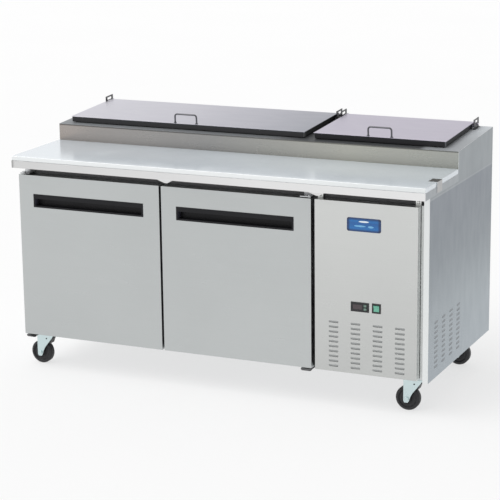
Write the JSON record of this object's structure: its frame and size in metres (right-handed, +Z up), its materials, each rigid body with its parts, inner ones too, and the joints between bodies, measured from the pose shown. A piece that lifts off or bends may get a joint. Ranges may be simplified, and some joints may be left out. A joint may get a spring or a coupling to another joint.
{
  "type": "sandwich prep table",
  "caption": "Refrigerated prep table with hinged doors, a raised rail of food pans under flap lids, a side compressor bay with louvres, and swivel casters.",
  "frame": {"origin": "on the floor under the middle of the table", "axes": "+X to the right as the user stands, +Y to the back, +Z up"},
  "size_m": [1.825, 0.854, 1.0672],
  "materials": {
    "steel": "satin",
    "pan_steel": "satin",
    "screw_steel": "polished",
    "wire_steel": "polished",
    "galvanised": "matte",
    "liner_aluminium": "satin",
    "foam": "matte",
    "foam_panel": "satin",
    "frame_plastic": "matte",
    "white_board": "satin",
    "black_plastic": "satin",
    "compressor_black": "satin",
    "motor_grey": "satin",
    "fins": "matte",
    "copper": "satin",
    "coated_wire": "gloss",
    "zinc": "satin",
    "fan_aluminium": "matte",
    "fan_plastic": "matte",
    "rocker_green": "gloss",
    "key_grey": "matte",
    "badge": "gloss",
    "seal_rubber": "matte",
    "wheel_rubber": "matte"
  },
  "bodies": {
    "cabinet": {"side_panel_left": "steel", "side_panel_right": "steel", "back_panel": "galvanised", "base_pan": "galvanised", "insulation": "foam", "inner_liner": "liner_aluminium", "door_frame": "frame_plastic", "worktop": "steel", "cutting_board": "white_board", "board_brackets": "steel", "rail_front_panel": "steel", "rail_top_frame": "steel", "pan_divider_bars": "steel", "food_pans": "pan_steel", "lid_lugs": "steel", "louvred_front_panel": "steel", "badge_plate": "badge", "panel_screws": "screw_steel", "controller": "black_plastic", "rocker_bezel": "black_plastic", "compressor": "compressor_black", "condenser_coil": "fins", "condenser_fan_motor": "motor_grey", "evaporator_coil": "fins", "evaporator_housing": "liner_aluminium", "refrigerant_lines": "copper", "shelves": "coated_wire", "shelf_supports": "galvanised", "door_hinge_brackets": "screw_steel", "caster_plates": "zinc", "power_inlet": "black_plastic"},
    "condenser_fan": {"condenser_fan_blade": "fan_aluminium"},
    "evaporator_fan": {"evaporator_fan_blade": "fan_plastic"},
    "power_switch": {"power_rocker": "rocker_green"},
    "up_key": {"key_up": "key_grey"},
    "down_key": {"key_down": "key_grey"},
    "door_left": {"door_left_shell": "steel", "door_left_inner": "foam_panel", "door_left_seal": "seal_rubber", "door_left_handle": "black_plastic"},
    "door_right": {"door_right_shell": "steel", "door_right_inner": "foam_panel", "door_right_seal": "seal_rubber", "door_right_handle": "black_plastic"},
    "lid_left": {"lid_left_core": "black_plastic", "lid_left_skin": "steel", "lid_left_handle": "wire_steel"},
    "lid_right": {"lid_right_core": "black_plastic", "lid_right_skin": "steel", "lid_right_handle": "wire_steel"},
    "fork_front_left": {"caster_fork_front_left": "zinc"},
    "wheel_front_left": {"caster_wheel_front_left": "wheel_rubber"},
    "pedal_front_left": {"brake_pedal_front_left": "black_plastic"},
    "fork_front_right": {"caster_fork_front_right": "zinc"},
    "wheel_front_right": {"caster_wheel_front_right": "wheel_rubber"},
    "pedal_front_right": {"brake_pedal_front_right": "black_plastic"},
    "fork_rear_left": {"caster_fork_rear_left": "zinc"},
    "wheel_rear_left": {"caster_wheel_rear_left": "wheel_rubber"},
    "fork_rear_right": {"caster_fork_rear_right": "zinc"},
    "wheel_rear_right": {"caster_wheel_rear_right": "wheel_rubber"}
  },
  "joints": [
    {"name": "condenser_fan_spin", "type": "hinge", "parent": "cabinet", "child": "condenser_fan", "pos_m": [0.6335, -0.2125, 0.2645], "axis": [0, 1, 0], "continuous": true},
    {"name": "evaporator_fan_spin", "type": "hinge", "parent": "cabinet", "child": "evaporator_fan", "pos_m": [0.2765, 0.199, 0.669], "axis": [1, 0, 0], "continuous": true},
    {"name": "power_switch_rock", "type": "hinge", "parent": "cabinet", "child": "power_switch", "pos_m": [0.6885, -0.3675, 0.4255], "axis": [-1, 0, 0], "range_deg": [0, 14]},
    {"name": "up_key_press", "type": "slide", "parent": "cabinet", "child": "up_key", "axis": [0, 1, 0], "range_m": [0, 0.0012], "stiffness_N_per_m": 300, "springref_m": -0.001},
    {"name": "down_key_press", "type": "slide", "parent": "cabinet", "child": "down_key", "axis": [0, 1, 0], "range_m": [0, 0.0012], "stiffness_N_per_m": 300, "springref_m": -0.001},
    {"name": "door_left_hinge", "type": "hinge", "parent": "cabinet", "child": "door_left", "pos_m": [-0.8875, -0.3525, 0.151], "axis": [0, 0, -1], "range_deg": [0, 100]},
    {"name": "door_right_hinge", "type": "hinge", "parent": "cabinet", "child": "door_right", "pos_m": [0.4005, -0.3525, 0.151], "axis": [0, 0, 1], "range_deg": [0, 100]},
    {"name": "lid_left_hinge", "type": "hinge", "parent": "cabinet", "child": "lid_left", "pos_m": [-0.316, 0.39119, 1.03427], "axis": [-1, 0, 0], "range_deg": [0, 95]},
    {"name": "lid_right_hinge", "type": "hinge", "parent": "cabinet", "child": "lid_right", "pos_m": [0.5525, 0.39119, 1.03427], "axis": [-1, 0, 0], "range_deg": [0, 95]},
    {"name": "swivel_front_left", "type": "hinge", "parent": "cabinet", "child": "fork_front_left", "pos_m": [-0.8315, -0.2815, 0.133], "axis": [0, 0, 1], "continuous": true},
    {"name": "roll_front_left", "type": "hinge", "parent": "fork_front_left", "child": "wheel_front_left", "pos_m": [-0.8715, -0.2815, 0.05], "axis": [0, 1, 0], "continuous": true},
    {"name": "brake_front_left", "type": "hinge", "parent": "fork_front_left", "child": "pedal_front_left", "pos_m": [-0.8405, -0.2815, 0.114], "axis": [0, 1, 0], "range_deg": [0, 12]},
    {"name": "swivel_front_right", "type": "hinge", "parent": "cabinet", "child": "fork_front_right", "pos_m": [0.8315, -0.2815, 0.133], "axis": [0, 0, 1], "continuous": true},
    {"name": "roll_front_right", "type": "hinge", "parent": "fork_front_right", "child": "wheel_front_right", "pos_m": [0.7915, -0.2815, 0.05], "axis": [0, 1, 0], "continuous": true},
    {"name": "brake_front_right", "type": "hinge", "parent": "fork_front_right", "child": "pedal_front_right", "pos_m": [0.8225, -0.2815, 0.114], "axis": [0, 1, 0], "range_deg": [0, 12]},
    {"name": "swivel_rear_left", "type": "hinge", "parent": "cabinet", "child": "fork_rear_left", "pos_m": [-0.8315, 0.3625, 0.133], "axis": [0, 0, 1], "continuous": true},
    {"name": "roll_rear_left", "type": "hinge", "parent": "fork_rear_left", "child": "wheel_rear_left", "pos_m": [-0.8715, 0.3625, 0.05], "axis": [0, 1, 0], "continuous": true},
    {"name": "swivel_rear_right", "type": "hinge", "parent": "cabinet", "child": "fork_rear_right", "pos_m": [0.8315, 0.3625, 0.133], "axis": [0, 0, 1], "continuous": true},
    {"name": "roll_rear_right", "type": "hinge", "parent": "fork_rear_right", "child": "wheel_rear_right", "pos_m": [0.7915, 0.3625, 0.05], "axis": [0, 1, 0], "continuous": true}
  ]
}
